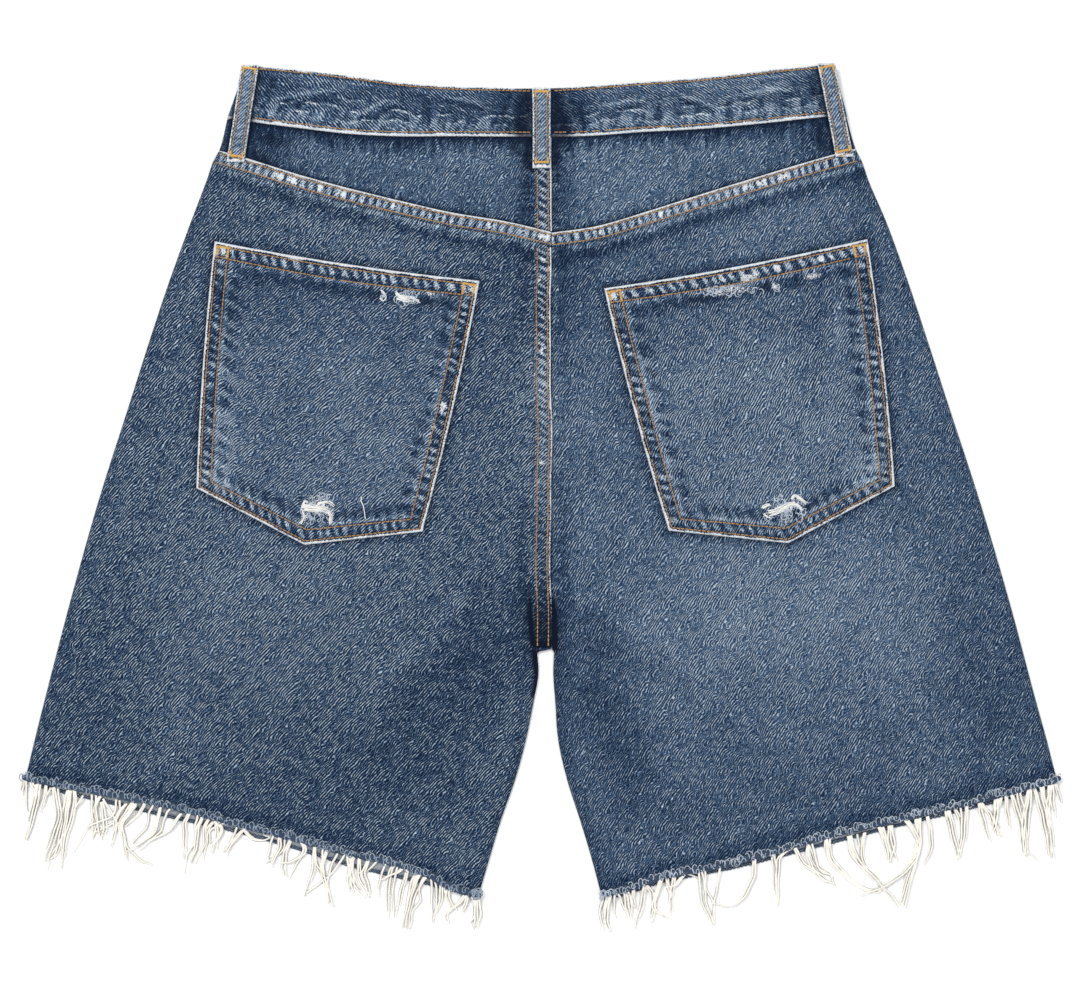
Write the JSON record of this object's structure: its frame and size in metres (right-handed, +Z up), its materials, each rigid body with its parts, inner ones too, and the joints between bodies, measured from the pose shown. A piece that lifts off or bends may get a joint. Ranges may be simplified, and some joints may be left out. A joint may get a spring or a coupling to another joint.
{
  "type": "pair of denim shorts",
  "caption": "Pair of high-waisted denim shorts lying flat with the back uppermost: yokes, patch pockets, waistband with belt loops, and cut hems with frayed threads.",
  "frame": {"origin": "centre of the garment's footprint, on the surface it lies on", "axes": "+Z up from the surface and out of the back; +Y from the hems to the waist; +X to the right as seen from above, which is the wearer's right"},
  "size_m": [0.677, 0.564, 0.0074],
  "materials": {
    "denim": "washed mid-indigo twill, softly faded",
    "denim_dark": "less faded indigo twill",
    "denim_worn": "more faded indigo twill",
    "frayed_yarn": "undyed cotton yarn, matt",
    "button_metal": "aged, satin"
  },
  "bodies": {
    "root": {"back_left": "denim", "back_right": "denim", "yoke_left": "denim", "yoke_right": "denim", "front_left": "denim", "front_right": "denim", "front_pocket_left": "denim_dark", "front_pocket_right": "denim_dark", "fly": "denim_dark", "waistband": "denim", "pocket_left": "denim_worn", "pocket_right": "denim_worn", "belt_loop_centre": "denim_worn", "belt_loop_left": "denim_worn", "belt_loop_right": "denim_worn", "belt_loop_front_left": "denim_worn", "belt_loop_front_right": "denim_worn", "back_hem_left": "frayed_yarn", "back_hem_right": "frayed_yarn", "front_hem_left": "frayed_yarn", "front_hem_right": "frayed_yarn", "button": "button_metal"}
  },
  "joints": []
}
